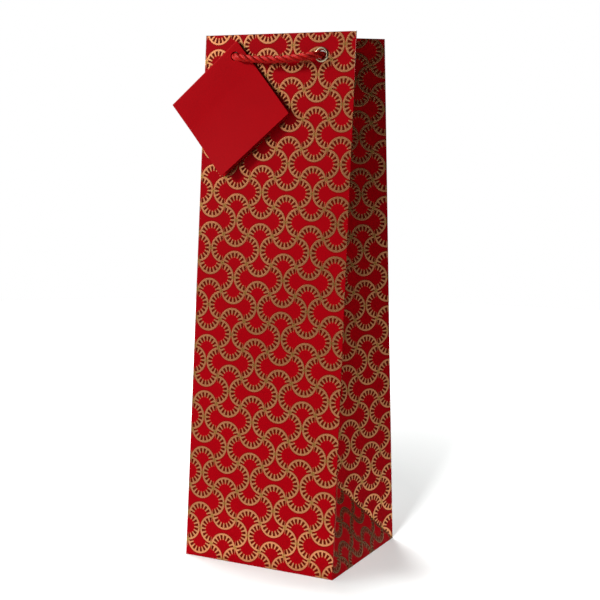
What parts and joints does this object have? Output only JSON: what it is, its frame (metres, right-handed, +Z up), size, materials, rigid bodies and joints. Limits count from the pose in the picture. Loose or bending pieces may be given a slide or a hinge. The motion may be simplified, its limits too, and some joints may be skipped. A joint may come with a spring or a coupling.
{
  "type": "wine gift bag",
  "caption": "Tall gusseted paper gift bag for one bottle, with a turned-over mouth, metal eyelets, rope handles pulled inside and a folded square card tag.",
  "frame": {"origin": "centre of the base, on the surface the bag stands on", "axes": "+Z up the bag, X across the front with +X to the right seen from the front, the front faces -Y"},
  "size_m": [0.1351, 0.105, 0.3553],
  "materials": {
    "printed_red_paper": "satin laminate with a foil-stamped repeat",
    "white_paper_back": "uncoated",
    "grey_board": "uncoated",
    "base_board": "uncoated",
    "eyelet_brass": "polished, pale",
    "red_rope": "twisted polypropylene rope",
    "tag_card": "satin"
  },
  "bodies": {
    "base": {"base_back_flap": "printed_red_paper", "base_card": "base_board", "base_front_flap": "printed_red_paper", "base_left_side_flap": "white_paper_back", "base_right_side_flap": "white_paper_back", "left_gusset_base_triangle": "printed_red_paper", "left_gusset_front_half": "printed_red_paper", "left_gusset_rear_half": "printed_red_paper", "right_gusset_base_triangle": "printed_red_paper", "right_gusset_front_half": "printed_red_paper", "right_gusset_rear_half": "printed_red_paper"},
    "front": {"front_cord": "red_rope", "front_hem": "printed_red_paper", "front_left_eyelet": "eyelet_brass", "front_left_knot": "red_rope", "front_left_washer": "eyelet_brass", "front_mouth_board": "grey_board", "front_panel": "printed_red_paper", "front_right_eyelet": "eyelet_brass", "front_right_knot": "red_rope", "front_right_washer": "eyelet_brass"},
    "back": {"back_cord": "red_rope", "back_hem": "printed_red_paper", "back_left_eyelet": "eyelet_brass", "back_left_knot": "red_rope", "back_left_washer": "eyelet_brass", "back_mouth_board": "grey_board", "back_panel": "printed_red_paper", "back_right_eyelet": "eyelet_brass", "back_right_knot": "red_rope", "back_right_washer": "eyelet_brass", "glue_seam_tab": "white_paper_back"},
    "tag": {"tag_back_leaf": "tag_card", "tag_fold_strip": "tag_card"},
    "tag_leaf": {"tag_front_leaf": "tag_card"}
  },
  "joints": [
    {"name": "front_panel_fold", "type": "hinge", "parent": "base", "child": "front", "pos_m": [0, -0.0525, 0], "axis": [1, 0, 0], "range_deg": [-2, 2], "deforming": ["left_gusset_front_half", "right_gusset_front_half"]},
    {"name": "back_panel_fold", "type": "hinge", "parent": "base", "child": "back", "pos_m": [0, 0.0525, 0], "axis": [-1, 0, 0], "range_deg": [-2, 2], "deforming": ["left_gusset_rear_half", "right_gusset_rear_half"]},
    {"name": "tag_swing", "type": "hinge", "parent": "front", "child": "tag", "pos_m": [-0.0315, -0.03226, 0.3408], "axis": [0, -0.9981, 0.0624], "range_deg": [-70, 3]},
    {"name": "tag_open", "type": "hinge", "parent": "tag", "child": "tag_leaf", "pos_m": [-0.02195, -0.03419, 0.32999], "axis": [-0.7524, -0.0411, -0.6574], "range_deg": [0, 60]}
  ]
}
